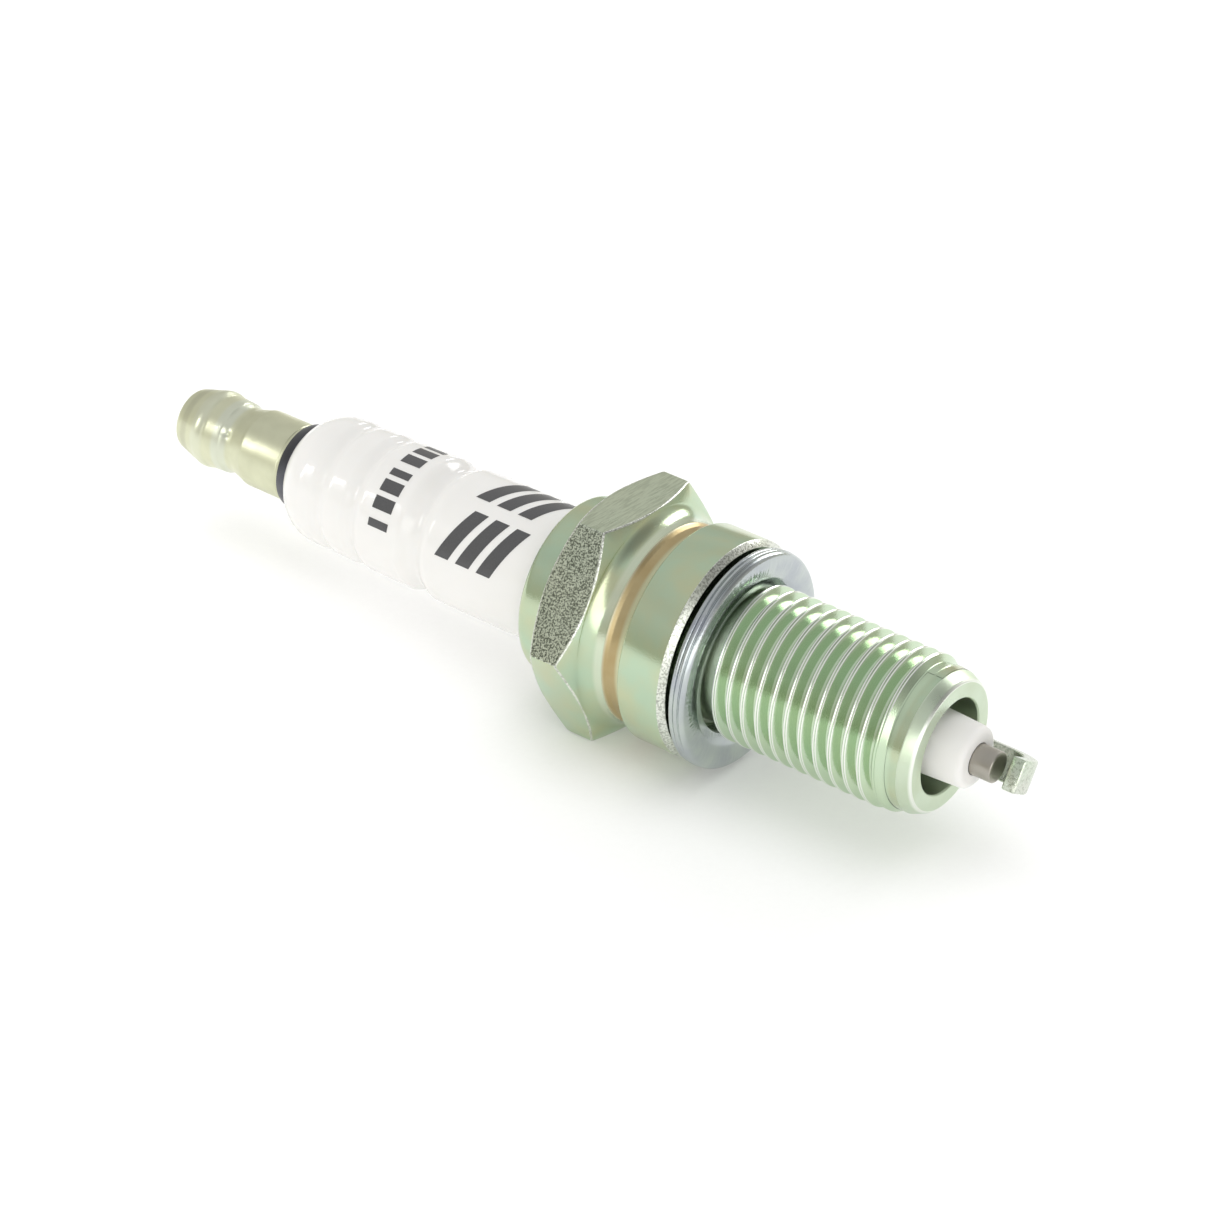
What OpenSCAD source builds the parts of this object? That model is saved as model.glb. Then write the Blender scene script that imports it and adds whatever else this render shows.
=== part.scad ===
// Spark plug: M12 x 1.25 thread, 19 mm reach, 18 mm hexagon, solid terminal nut.
// The plug's axis is X. The firing end points to +X and x = 0 is the shell's sealing plane.

/* [Shell] */
// Major diameter of the mounting thread
thread_d = 12; // [11.9:0.02:12]
// Length from the sealing plane to the firing end of the shell
reach = 19; // [19:0.1:20]
// Size across the flats of the wrench hexagon
hex_af = 18; // [17.8:0.1:18.4]
// Diameter of the round flange behind the gasket
flange_d = 17.2; // [17:0.1:17.4]
// Diameter of the rolled rim that closes over the insulator
rim_d = 14.3; // [14.1:0.1:14.5]

/* [Insulator] */
// Diameter of the straight glazed body
ins_d = 10.84; // [10.7:0.02:10.9]
// Diameter of the nose where it ends beside the centre electrode
nose_tip_d = 4.72; // [4.5:0.02:4.9]

/* [Electrodes] */
// Diameter of the centre electrode
centre_d = 2.4; // [2.3:0.02:2.44]
// Distance between the two electrodes
spark_gap = 0.8; // [0.6:0.05:1]
// Width of the ground electrode strap
strap_w = 2.5; // [2.3:0.05:2.5]
// Thickness of the ground electrode strap
strap_t = 1.05; // [0.95:0.05:1.05]

/* [Terminal] */
// Greatest diameter of the terminal nut
nut_d = 6.4; // [6.3:0.02:6.48]
// Major diameter of the stud thread under the nut
stud_d = 4; // [3.9:0.02:4]

/* [Gasket] */
// Distance of the loose gasket from the sealing plane
gasket_lift = 0.45; // [0.4:0.01:0.5]
// Outer diameter of the gasket
gasket_d = 17.1; // [16.9:0.1:17.1]

/* [Hidden] */
$fn = 96;

// stations of the shell along the axis
rim_end_x = -15;
hex_rear_x = -11.5;
hex_front_x = -7.5;
hex_corner_r = hex_af / 2 / cos(30);
chamfer_r = hex_af / 2 - 0.1;
chamfer_w = (hex_corner_r - chamfer_r) * tan(30);
bead_r = 7.95;
bead_x = -5.95;
heat_groove_r = 7.7;
flange_rear_x = -4;
flange_r = flange_d / 2;
flange_chamfer = 0.45;
rim_r = rim_d / 2;
rim_round = 0.7;

// bores of the shell
mouth_r = ins_d / 2 + 0.12;
cavity_r = 6.35;
throat_r = 4.2;
ledge_r = 3.25;
chamber_r = 3.69;
throat_x0 = -1.2;
ledge_x0 = 8.65;
ledge_x1 = 9.3;
seat_slope_x = 0.55;

// mounting thread
pitch = 1.25;
crest_r = thread_d / 2;
root_r = crest_r - 0.75;
fade_r = 5.5;
crest_flat = 0.25;
root_flat = 0.3;
turns = 12;
steps = 30;
thread_foot_x = 1.75;
thread_rear_x = 1.5;
thread_front_x = 18.05;
rise_turns = 0.25;
fade_turns = 0.9;
start_angle = 94;
end_r = 4.98;
// the round parts next to the thread lie just inside its flat facets
relief_r = root_r - 0.05;
end_base_r = fade_r - 0.05;

// gasket folded from thin sheet, its inner lip just inside the thread's crest
sheet_t = 0.45;
lip_r = crest_r - 0.08;

// insulator
ins_r = ins_d / 2;
ins_end_x = -40.3;
dome_r = 3.5;
dome_x = -37.5;
dome_top_r = 5.22;
rib_x1 = -24.6;
groove_step = 0.25;
groove_x = [-35.8, -32.5, -26.3];
shoulder_r = 6.2;
stem_r = 4.1;
nose_root_r = 2.95;
nose_root_x = 8.7;
nose_end_x = 21.3;
nose_round = 0.7;
bore_r = 2.05;
bore_step_x = 1.4;
wire_bore_r = centre_d / 2 + 0.05;

// column inside the insulator
tip_x = nose_end_x + 1.7;
tip_round = 0.4;
centre_r = centre_d / 2;
head_r = 1.75;
head_x = 0;
core_r = 0.65;
front_glass_x = -3.5;
resistor_x = -11;
rear_glass_x = -14;
stud_end_x = -12.2;
stud_tip_r = 1.6;
stem_stud_r = 1.98;

// stud and terminal nut
collar_rear_x = -41.4;
stud_pitch = 0.7;
stud_root_r = stud_d / 2 - 0.43;
stud_top_x = -51.5;
stud_rings = 13;
nut_open_x = -41.45;
nut_end_x = -53;
nut_bore_r = stud_d / 2 + 0.03;
nut_bore_x = -52.4;
drill_point = 0.8;
bulb_round = 1.2;
waist_round = 1.6;
barrel_round = 0.8;
nut_r = nut_d / 2;
waist_r = 2.74;
nut_edge = 0.5;
nose_face_r = 2.1;
open_chamfer = 0.15;
bulb_x = nut_end_x + 2.75;
waist_x = nut_end_x + 5.7;
barrel_x = nut_end_x + 7.6;

// strap
strap_angle = -30;
strap_out = 4.75;
strap_bend_r = 3.5;
strap_end = -0.2;
strap_top_x = tip_x + spark_gap + strap_t;

// sealing between insulator and shell
packing_r = (cavity_r + ins_r) / 2;
wire_r = (cavity_r - ins_r) / 2 - 0.01;
rear_wire_x = -13.75;
front_wire_x = -11.65;
washer_t = 0.3;

// points of an arc in the half plane [x, r]
function arc(cx, cr, rad, a0, a1, n = 6) =
    [for (i = [0:n]) [cx + rad * cos(a0 + (a1 - a0) * i / n), cr + rad * sin(a0 + (a1 - a0) * i / n)]];

// smooth dip used for the grooves round the insulator
function dip(x, c, w, d) = abs(x - c) < w ? d * (1 + cos(180 * (x - c) / w)) / 2 : 0;

// radius of the ribbed part of the insulator
function rib_r(x) = dome_top_r + (ins_r - dome_top_r) * min(1, (x - dome_x) / (rib_x1 - dome_x))
    - dip(x, groove_x[0], 1, 0.25) - dip(x, groove_x[1], 1, 0.3) - dip(x, groove_x[2], 1.6, 0.6);

// a body of revolution about X from points [x, r]
module turned(points) {
    rotate([0, 90, 0])
        rotate_extrude()
            polygon([for (p = points) [p[1], p[0]]]);
}

// a plain cylinder about X
module rod(x0, x1, r) {
    translate([x0, 0, 0])
        rotate([0, 90, 0])
            cylinder(r = r, h = x1 - x0);
}

// radius of the thread's crest after t turns
function crest_at(t) = t < rise_turns ? root_r + (crest_r - root_r) * t / rise_turns
    : t > turns - fade_turns ? fade_r + (crest_r - fade_r) * (turns - t) / fade_turns
    : crest_r;

// radius of the thread root after t turns
function root_at(t) = t < turns - fade_turns ? root_r
    : t < turns ? fade_r - (fade_r - root_r) * (turns - t) / fade_turns
    : fade_r;

// point at radius r, station x, i steps round the helix
function around(i, x, r) =
    let (a = start_angle + 360 * i / steps)
    [x, r * cos(a), r * sin(a)];

// the four points across one ridge, i steps along the helix
function ridge(i) =
    let (t = i / steps, x = thread_foot_x + pitch * t, half = (pitch - root_flat) / 2)
    [around(i, x, root_at(t)),
     around(i, x + half - crest_flat / 2, crest_at(t)),
     around(i, x + half + crest_flat / 2, crest_at(t)),
     around(i, x + 2 * half, root_at(min(t + 1, turns + 1)))];

// solid threaded length with flat round ends
module threaded_rod() {
    rows = turns * steps;
    grid = [for (i = [0:rows]) each ridge(i)];
    tail = [for (i = [rows + 1:rows + steps])
        around(i, thread_foot_x + pitch * i / steps, fade_r)];
    rear = [for (j = [0:steps - 1]) around(j, thread_rear_x, root_r)];
    front = [for (j = [0:steps - 1]) around(rows + j, thread_front_x, fade_r)];
    n_tail = len(grid);
    n_rear = n_tail + len(tail);
    n_front = n_rear + steps;
    // index of the ridge foot i steps along, also past the last ridge
    function foot(i) = i <= rows ? 4 * i : n_tail + i - rows - 1;
    sides = [for (i = [0:rows - 1], k = [0:3])
        let (a = 4 * i + k, b = 4 * (i + 1) + k,
             c = k < 3 ? b + 1 : foot(i + 1 + steps), d = k < 3 ? a + 1 : foot(i + steps))
        each [[a, b, c], [a, c, d]]];
    rear_skirt = [for (j = [0:steps - 1])
        j < steps - 1 ? [n_rear + j, n_rear + j + 1, foot(j + 1), foot(j)]
        : [n_rear + j, n_rear, 0, 1, 2, 3, foot(steps), foot(j)]];
    front_skirt = [for (j = [0:steps - 1])
        j > 0 ? [foot(rows + j), foot(rows + j + 1), n_front + (j + 1) % steps, n_front + j]
        : [n_front + 1, n_front, foot(rows + steps), foot(rows) + 3, foot(rows) + 2,
            foot(rows) + 1, foot(rows), foot(rows + 1)]];
    caps = [[for (j = [steps - 1:-1:0]) n_rear + j], [for (j = [0:steps - 1]) n_front + j]];
    polyhedron(points = concat(grid, tail, rear, front),
        faces = [for (f = concat(sides, rear_skirt, front_skirt, caps)) [for (i = [len(f) - 1:-1:0]) f[i]]],
        convexity = 10);
}

// wrench hexagon with its corners chamfered at both ends
module hexagon() {
    intersection() {
        translate([hex_rear_x, 0, 0])
            rotate([0, 90, 0])
                rotate([0, 0, 30])
                    cylinder(r = hex_corner_r, h = hex_front_x - hex_rear_x, $fn = 6);
        turned([[hex_rear_x, 0], [hex_rear_x, chamfer_r],
            [hex_rear_x + chamfer_w, hex_corner_r + 0.01],
            [hex_front_x - chamfer_w, hex_corner_r + 0.01],
            [hex_front_x, chamfer_r], [hex_front_x, 0]]);
    }
}

// steel shell: rim, hexagon, heat groove, flange and thread
module shell() {
    color([0.68, 0.78, 0.62])
        difference() {
            union() {
                turned(concat(
                    [[rim_end_x, 0], [rim_end_x, mouth_r + 0.05]],
                    arc(rim_end_x + 1.1, rim_r - rim_round, rim_round, 150, 90),
                    arc(hex_rear_x - 0.5, rim_r + 0.5, 0.5, 270, 350),
                    [[hex_rear_x + 0.3, rim_r + 0.6], [hex_front_x - 0.3, chamfer_r - 0.2]],
                    arc(bead_x, bead_r + 1.77, 1.77, 211, 270),
                    [[bead_x + 0.15, bead_r], [bead_x + 0.25, heat_groove_r]],
                    arc(flange_rear_x - 0.3, heat_groove_r + 0.3, 0.3, 270, 360, 4),
                    [[flange_rear_x, flange_r - 0.1], [flange_rear_x + 0.1, flange_r],
                        [-flange_chamfer, flange_r], [0, flange_r - flange_chamfer]],
                    arc(0.3, relief_r + 0.3, 0.3, 180, 270, 4),
                    [[thread_rear_x, relief_r], [thread_rear_x, 0]]));
                hexagon();
                threaded_rod();
                turned([[thread_front_x, 0], [thread_front_x, end_base_r], [reach - 0.15, end_r + 0.14],
                    [reach, end_r], [reach, 0]]);
            }
            turned([[rim_end_x - 1, 0], [rim_end_x - 1, mouth_r], [rim_end_x + 0.5, mouth_r],
                [rim_end_x + 0.8, cavity_r], [throat_x0 - 2, cavity_r], [throat_x0, throat_r],
                [ledge_x0 - seat_slope_x, throat_r], [ledge_x0, ledge_r], [ledge_x1, ledge_r],
                [ledge_x1 + 0.25, chamber_r], [reach - 0.1, chamber_r], [reach + 1, chamber_r + 1.1],
                [reach + 1, 0]]);
        }
}

// strap welded to the end of the shell and bent over the centre electrode
module ground_electrode() {
    bend_x = strap_top_x - strap_bend_r;
    bend_b = strap_out - strap_bend_r;
    color([0.7, 0.76, 0.66])
        rotate([strap_angle, 0, 0])
            translate([0, 0, -strap_w / 2])
                union() {
                    translate([reach, strap_out - strap_t, 0])
                        cube([bend_x - reach, strap_t, strap_w]);
                    intersection() {
                        translate([bend_x, bend_b, 0])
                            difference() {
                                cylinder(r = strap_bend_r, h = strap_w);
                                translate([0, 0, -1])
                                    cylinder(r = strap_bend_r - strap_t, h = strap_w + 2);
                            }
                        translate([bend_x, bend_b, -1])
                            cube([strap_bend_r + 1, strap_bend_r + 1, strap_w + 2]);
                    }
                    translate([strap_top_x - strap_t, strap_end, 0])
                        cube([strap_t, bend_b - strap_end, strap_w]);
                }
}

// loose crush gasket with two folds in its outer edge
module gasket() {
    r = gasket_d / 2;
    x = gasket_lift;
    t = sheet_t;
    color([0.74, 0.77, 0.8])
        turned(concat(
            [[x, lip_r + 0.43], [x, r - 0.35]],
            arc(x + t / 2, r - 0.32, t / 2, 180, 40, 4),
            [[x + t, r - 0.32]],
            arc(x + 1.5 * t, r - 0.2, 0.2, 160, 20, 4),
            [[x + 2 * t, r - 0.14]],
            arc(x + 2 * t, r - 0.5, 0.5, 80, 20, 4),
            [[x + 3 * t, r - 0.9], [x + 3 * t, lip_r + 0.83]],
            arc(x + 2 * t, lip_r + 0.55, t, 0, -90, 4),
            [[x + 2 * t - 0.05, lip_r], [x + 0.35, lip_r]]));
}

// one-piece ceramic insulator: ribs, body, shoulder and nose with a stepped bore
module insulator() {
    n = floor((rib_x1 - dome_x) / groove_step);
    color([0.96, 0.95, 0.93])
        turned(concat(
            [[ins_end_x, bore_r]],
            arc(dome_x, dome_top_r - dome_r, dome_r, 143, 93, 8),
            [for (i = [0:n]) let (x = dome_x + i * groove_step) [x, rib_r(x)]],
            [[rib_x1, ins_r], [hex_rear_x + 0.3, ins_r], [hex_rear_x + 0.9, shoulder_r],
                [throat_x0 - 2.6, shoulder_r], [throat_x0 - 0.5, stem_r],
                [ledge_x0 - seat_slope_x - washer_t, stem_r],
                [ledge_x0 - washer_t + 0.02, nose_root_r], [nose_root_x, nose_root_r]],
            arc(nose_end_x - nose_round, nose_tip_d / 2 - nose_round, nose_round, 90, 0),
            [[nose_end_x, wire_bore_r], [bore_step_x + 0.8, wire_bore_r], [bore_step_x, bore_r]]));
}

// nickel alloy centre electrode with the head that rests on the step of the bore
module centre_electrode() {
    color([0.56, 0.53, 0.49])
        difference() {
            turned(concat(
                [[head_x, 0], [head_x, head_r - 0.15], [head_x + 0.15, head_r], [bore_step_x, head_r],
                    [bore_step_x + 0.6, centre_r]],
                arc(tip_x - tip_round, centre_r - tip_round, tip_round, 90, 0),
                [[tip_x, 0]]));
            rod(head_x + 0.8, tip_x - 1.4, core_r);
        }
}

// copper core that carries heat out of the electrode
module copper_core() {
    color([0.78, 0.45, 0.3])
        rod(head_x + 0.8, tip_x - 1.4, core_r);
}

// conductive glass round the head of the centre electrode
module front_glass_seal() {
    color([0.3, 0.32, 0.36])
        turned([[front_glass_x, 0], [front_glass_x, bore_r], [bore_step_x, bore_r],
            [bore_step_x, head_r], [head_x + 0.15, head_r], [head_x, head_r - 0.15], [head_x, 0]]);
}

// suppression resistor between the two glass seals
module resistor() {
    color([0.16, 0.16, 0.17])
        rod(resistor_x, front_glass_x, bore_r);
}

// conductive glass round the end of the terminal stud
module rear_glass_seal() {
    color([0.3, 0.32, 0.36])
        turned([[rear_glass_x, stud_tip_r], [rear_glass_x, bore_r], [resistor_x, bore_r],
            [resistor_x, 0], [stud_end_x, 0], [stud_end_x, stud_tip_r]]);
}

// steel stud: threaded end, collar on the insulator and stem in the bore
module terminal_stud() {
    stud_r = stud_d / 2;
    color([0.34, 0.34, 0.35])
        turned(concat(
            [[stud_top_x, 0], [stud_top_x, stud_root_r - 0.2]],
            [for (i = [0:stud_rings - 1]) let (x = stud_top_x + 0.3 + i * stud_pitch)
                each [[x, stud_root_r], [x + 0.26, stud_r], [x + 0.34, stud_r],
                    [x + 0.6, stud_root_r]]],
            [[collar_rear_x, stud_root_r], [collar_rear_x, 3.35], [collar_rear_x + 0.12, 3.5],
                [ins_end_x - 0.12, 3.85], [ins_end_x, 3.8], [ins_end_x, stem_stud_r],
                [rear_glass_x, stem_stud_r], [rear_glass_x, stud_tip_r], [stud_end_x, stud_tip_r],
                [stud_end_x, 0]]));
}

// terminal nut: clip bulb, waist and barrel with a blind threaded bore
module terminal_nut() {
    color([0.74, 0.75, 0.56])
        difference() {
            turned(concat(
                [[nut_end_x, 0]],
                arc(nut_end_x + nut_edge, nose_face_r, nut_edge, 180, 108, 4),
                arc(bulb_x, nut_r - bulb_round, bulb_round, 108, 60),
                arc(waist_x, waist_r + waist_round, waist_round, 240, 290),
                arc(barrel_x, nut_r - barrel_round, barrel_round, 120, 90, 4),
                [[nut_open_x - open_chamfer, nut_r], [nut_open_x, nut_r - open_chamfer], [nut_open_x, 0]]));
            turned([[nut_open_x + 1, 0], [nut_open_x + 1, nut_bore_r],
                [nut_bore_x + drill_point, nut_bore_r], [nut_bore_x, 0]]);
        }
}

// thin metal washer on the conical seat inside the shell
module seat_washer() {
    x0 = ledge_x0 - seat_slope_x;
    color([0.6, 0.6, 0.58])
        turned([[x0 - washer_t, stem_r], [x0 - washer_t, throat_r], [x0, throat_r],
            [ledge_x0 - 0.1, ledge_r + 0.17], [ledge_x0 - washer_t - 0.05, ledge_r + 0.02]]);
}

// wire ring that seals against the insulator's shoulder
module front_packing_ring() {
    color([0.45, 0.45, 0.44])
        turned(arc(front_wire_x, packing_r, wire_r, 0, 345, 23));
}

// compressed talc between the two packing rings
module talc_filling() {
    color([0.86, 0.84, 0.8])
        turned([[rear_wire_x + wire_r, ins_r], [rear_wire_x + wire_r, cavity_r],
            [front_wire_x - wire_r, cavity_r], [front_wire_x - wire_r, ins_r]]);
}

// wire ring held under the rolled rim
module rear_packing_ring() {
    color([0.45, 0.45, 0.44])
        turned(arc(rear_wire_x, packing_r, wire_r, 0, 345, 23));
}

shell();
ground_electrode();
gasket();
insulator();
centre_electrode();
copper_core();
front_glass_seal();
resistor();
rear_glass_seal();
terminal_stud();
terminal_nut();
seat_washer();
front_packing_ring();
talc_filling();
rear_packing_ring();
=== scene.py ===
from math import atan2, cos, degrees, exp, hypot, pi, radians, sin, sqrt, tan

import bpy
import bmesh
from mathutils import Matrix, Vector


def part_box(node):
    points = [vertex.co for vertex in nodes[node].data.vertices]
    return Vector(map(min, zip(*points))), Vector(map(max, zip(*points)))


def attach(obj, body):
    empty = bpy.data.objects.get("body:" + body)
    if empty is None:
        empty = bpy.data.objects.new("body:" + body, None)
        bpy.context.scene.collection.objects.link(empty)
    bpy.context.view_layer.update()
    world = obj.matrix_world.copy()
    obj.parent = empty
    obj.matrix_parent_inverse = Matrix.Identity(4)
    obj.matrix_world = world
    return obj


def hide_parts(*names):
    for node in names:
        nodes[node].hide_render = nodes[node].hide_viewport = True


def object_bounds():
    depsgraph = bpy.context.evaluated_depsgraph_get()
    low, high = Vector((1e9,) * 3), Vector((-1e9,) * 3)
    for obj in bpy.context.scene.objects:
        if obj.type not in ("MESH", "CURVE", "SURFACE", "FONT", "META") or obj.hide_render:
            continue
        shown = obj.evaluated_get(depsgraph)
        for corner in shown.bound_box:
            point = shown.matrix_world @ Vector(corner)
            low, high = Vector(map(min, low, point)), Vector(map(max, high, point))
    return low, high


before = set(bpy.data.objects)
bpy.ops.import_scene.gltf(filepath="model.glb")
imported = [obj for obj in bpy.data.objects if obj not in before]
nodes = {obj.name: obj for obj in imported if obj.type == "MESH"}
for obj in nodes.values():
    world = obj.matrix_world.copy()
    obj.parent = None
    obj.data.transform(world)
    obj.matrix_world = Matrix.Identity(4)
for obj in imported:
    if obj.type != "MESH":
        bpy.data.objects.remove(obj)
cad_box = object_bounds()

MM = 0.001


def span(node, axis):
    """Where a CAD node begins and ends along an axis at rest, in millimetres to the nearest micron."""
    return [round(getattr(corner, axis) / MM, 3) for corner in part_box(node)]


# ---------------------------------------------------------------- materials

def linear(code, alpha=1.0):
    """An sRGB hex colour as linear RGBA."""
    parts = [int(code[i:i + 2], 16) / 255 for i in (1, 3, 5)]
    return [p / 12.92 if p <= 0.04045 else ((p + 0.055) / 1.055) ** 2.4 for p in parts] + [alpha]


def add(tree, kind, settings=None, links=None):
    """A shader node with its settings (properties or socket values) and what feeds its sockets."""
    made = tree.nodes.new("ShaderNode" + kind)
    for name, value in (settings or {}).items():
        if isinstance(name, int) or name in made.inputs:
            made.inputs[name].default_value = value
        else:
            setattr(made, name, value)
    for name, source in (links or {}).items():
        tree.links.new(source, made.inputs[name])
    return made


def finish(name):
    """A new material with an empty node tree, its millimetre coordinates and its output node."""
    material = bpy.data.materials.new(name)
    material.use_nodes = True
    tree = material.node_tree
    tree.nodes.clear()
    place = add(tree, "TexCoord")
    mm = add(tree, "VectorMath", {"operation": "SCALE", "Scale": 1 / MM}, {0: place.outputs["Object"]})
    out = add(tree, "OutputMaterial")
    return material, tree, mm.outputs[0], out.inputs["Surface"]


def plated(name, colour, stain, grain_mm, grain_depth_mm, rough, streak=1.0, zones=(), pit_shade=None):
    """Passivated zinc plate or bare metal: a tinted mirror broken by fine grain.
    stain is the second colour of the film's clouds and streak draws the grain out round the axis.
    zones are (x0, x1, least radius, hex, strength): rings of heat tint, cut faces, and painted highlights
    along the thread's crests and the end's edge.
    pit_shade is (hex, strength, share): painted shade in the bottoms of the small hollows that rolling or
    shearing left."""
    material, tree, mm, surface = finish(name)
    # passivation film varies in clouds a few millimetres wide
    clouds = add(tree, "TexNoise", {"Scale": 1 / 3.5, "Detail": 3.0, "Roughness": 0.55}, {"Vector": mm})
    cloudy = add(tree, "MapRange", {"From Min": 0.35, "From Max": 0.7}, {0: clouds.outputs[0]})
    base = add(tree, "Mix", {"data_type": "RGBA", 6: linear(colour), 7: linear(stain)},
               {0: cloudy.outputs[0]}).outputs[2]
    stretched = add(tree, "Mapping", {"Scale": (1.0, 1 / streak, 1 / streak)}, {"Vector": mm})
    grain = add(tree, "TexNoise", {"Scale": 1 / grain_mm, "Detail": 2.0, "Roughness": 0.6},
                {"Vector": stretched.outputs[0]})
    # painted shade: the lowest grain is darkened as if its small hollows held less light
    if pit_shade:
        tint, strength, share = pit_shade
        dark = add(tree, "MapRange", {"From Min": share + 0.08, "From Max": share - 0.08,
                                      "To Max": strength}, {0: grain.outputs[0]})
        base = add(tree, "Mix", {"data_type": "RGBA", 7: linear(tint)},
                   {0: dark.outputs[0], 6: base}).outputs[2]
    parts = add(tree, "SeparateXYZ", {}, {0: mm})
    across = add(tree, "CombineXYZ", {}, {1: parts.outputs[1], 2: parts.outputs[2]})
    radius = add(tree, "VectorMath", {"operation": "LENGTH"}, {0: across.outputs[0]}).outputs["Value"]
    for x0, x1, least, tint, strength in zones:
        half = (x1 - x0) / 2
        off = add(tree, "Math", {"operation": "SUBTRACT", 1: (x0 + x1) / 2}, {0: parts.outputs[0]})
        away = add(tree, "Math", {"operation": "ABSOLUTE"}, {0: off.outputs[0]})
        along = add(tree, "MapRange", {"From Min": half, "From Max": half - min(0.3, half * 0.6)},
                    {0: away.outputs[0]})
        outside = add(tree, "MapRange", {"From Min": least - 0.02, "From Max": least + 0.02,
                                         "To Max": strength}, {0: radius})
        mask = add(tree, "Math", {"operation": "MULTIPLY"}, {0: outside.outputs[0], 1: along.outputs[0]})
        base = add(tree, "Mix", {"data_type": "RGBA", 7: linear(tint)},
                   {0: mask.outputs[0], 6: base}).outputs[2]
    # turned and rolled faces wander by a few microns over 1.6 mm, which bends the reflections
    ripple = add(tree, "TexNoise", {"Scale": 1 / 1.6, "Detail": 1.0}, {"Vector": mm})
    waves = add(tree, "Bump", {"Strength": 0.25, "Distance": 0.012 * MM}, {"Height": ripple.outputs[0]})
    bump = add(tree, "Bump", {"Strength": 1.0, "Distance": grain_depth_mm * MM},
               {"Height": grain.outputs[0], "Normal": waves.outputs[0]})
    roughness = add(tree, "MapRange", {"From Min": 0.3, "From Max": 0.7, "To Min": rough * 0.8,
                                       "To Max": rough * 1.25}, {0: clouds.outputs[0]})
    shader = add(tree, "BsdfPrincipled", {"Metallic": 1.0},
                 {"Base Color": base, "Roughness": roughness.outputs[0], "Normal": bump.outputs[0]})
    tree.links.new(shader.outputs[0], surface)
    return material


def fired_clay(name):
    """White alumina: clear glazed behind the shell, bare and matte on the nose in front of it."""
    material, tree, mm, surface = finish(name)
    along = add(tree, "SeparateXYZ", {}, {0: mm}).outputs[0]
    bare = add(tree, "MapRange", {"From Min": -1.0, "From Max": 1.0}, {0: along}).outputs[0]
    body = add(tree, "TexNoise", {"Scale": 1 / 5.0, "Detail": 2.0}, {"Vector": mm})
    colour = add(tree, "Mix", {"data_type": "RGBA", 6: linear("#eeedeb"), 7: linear("#e9e8e5")},
                 {0: body.outputs[0]})
    # glaze pools over 1.5 mm, the bare nose shows 0.08 mm grit
    pool = add(tree, "TexNoise", {"Scale": 1 / 1.5, "Detail": 1.0}, {"Vector": mm})
    grit = add(tree, "TexNoise", {"Scale": 1 / 0.08, "Detail": 2.0}, {"Vector": mm})
    soft = add(tree, "Bump", {"Strength": 0.3, "Distance": 0.012 * MM}, {"Height": pool.outputs[0]})
    depth = add(tree, "Math", {"operation": "MULTIPLY"}, {0: grit.outputs[0], 1: bare})
    normal = add(tree, "Bump", {"Strength": 0.5, "Distance": 0.006 * MM},
                 {"Height": depth.outputs[0], "Normal": soft.outputs[0]})
    rough = add(tree, "MapRange", {"To Min": 0.12, "To Max": 0.62}, {0: bare})
    shader = add(tree, "BsdfPrincipled", {"IOR": 1.55, "Subsurface Weight": 0.12,
                                          "Subsurface Radius": (0.8, 0.7, 0.6), "Subsurface Scale": MM},
                 {"Base Color": colour.outputs[2], "Roughness": rough.outputs[0],
                  "Normal": normal.outputs[0]})
    tree.links.new(shader.outputs[0], surface)
    return material


def dull(name, colour, second, grain_mm, depth_mm, rough, metal=0.0):
    """A plain mottled surface: fired ink, pressed powder, fused glass, dull wire or paper."""
    material, tree, mm, surface = finish(name)
    grain = add(tree, "TexNoise", {"Scale": 1 / grain_mm, "Detail": 4.0, "Roughness": 0.6}, {"Vector": mm})
    mix = add(tree, "Mix", {"data_type": "RGBA", 6: linear(colour), 7: linear(second)},
              {0: grain.outputs[0]})
    bump = add(tree, "Bump", {"Strength": 0.6, "Distance": depth_mm * MM}, {"Height": grain.outputs[0]})
    roughness = add(tree, "MapRange", {"To Min": rough * 0.85, "To Max": min(1, rough * 1.15)},
                    {0: grain.outputs[0]})
    shader = add(tree, "BsdfPrincipled", {"Metallic": metal},
                 {"Base Color": mix.outputs[2], "Roughness": roughness.outputs[0],
                  "Normal": bump.outputs[0]})
    tree.links.new(shader.outputs[0], surface)
    return material


# ---------------------------------------------------------------- shapes

def arc(cx, cr, radius, a0, a1, steps=8):
    """Points of an arc in the half plane (x, r), angles in degrees."""
    turns = [radians(a0 + (a1 - a0) * i / steps) for i in range(steps + 1)]
    return [(cx + radius * cos(a), cr + radius * sin(a)) for a in turns]


def softened(corners, steps=3):
    """Outline through (x, r) points and (x, r, radius) corners, with those corners rounded off."""
    line = []
    for i, corner in enumerate(corners):
        here = Vector(corner[:2])
        if len(corner) < 3 or i in (0, len(corners) - 1):
            line.append(tuple(here))
            continue
        before, after = Vector(corners[i - 1][:2]) - here, Vector(corners[i + 1][:2]) - here
        half = before.angle(after) / 2
        cut = min(corner[2] / max(tan(half), 1e-3), 0.45 * before.length, 0.45 * after.length)
        start, end = here + before.normalized() * cut, here + after.normalized() * cut
        for k in range(steps + 1):
            u = k / steps
            line.append(tuple(start * (1 - u) ** 2 + here * 2 * u * (1 - u) + end * u * u))
    return line


def spaced(outline, step):
    """The same outline with no stretch longer than step."""
    line = [outline[0]]
    for a, b in zip(outline, outline[1:]):
        parts = max(1, int(hypot(b[0] - a[0], b[1] - a[1]) / step + 0.999))
        line += [(a[0] + (b[0] - a[0]) * k / parts, a[1] + (b[1] - a[1]) * k / parts)
                 for k in range(1, parts + 1)]
    return line


def at(x, r, angle):
    """A point in metres from its station, radius and angle round the axis, in millimetres and degrees."""
    return Vector((x, r * cos(radians(angle)), r * sin(radians(angle)))) * MM


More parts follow.
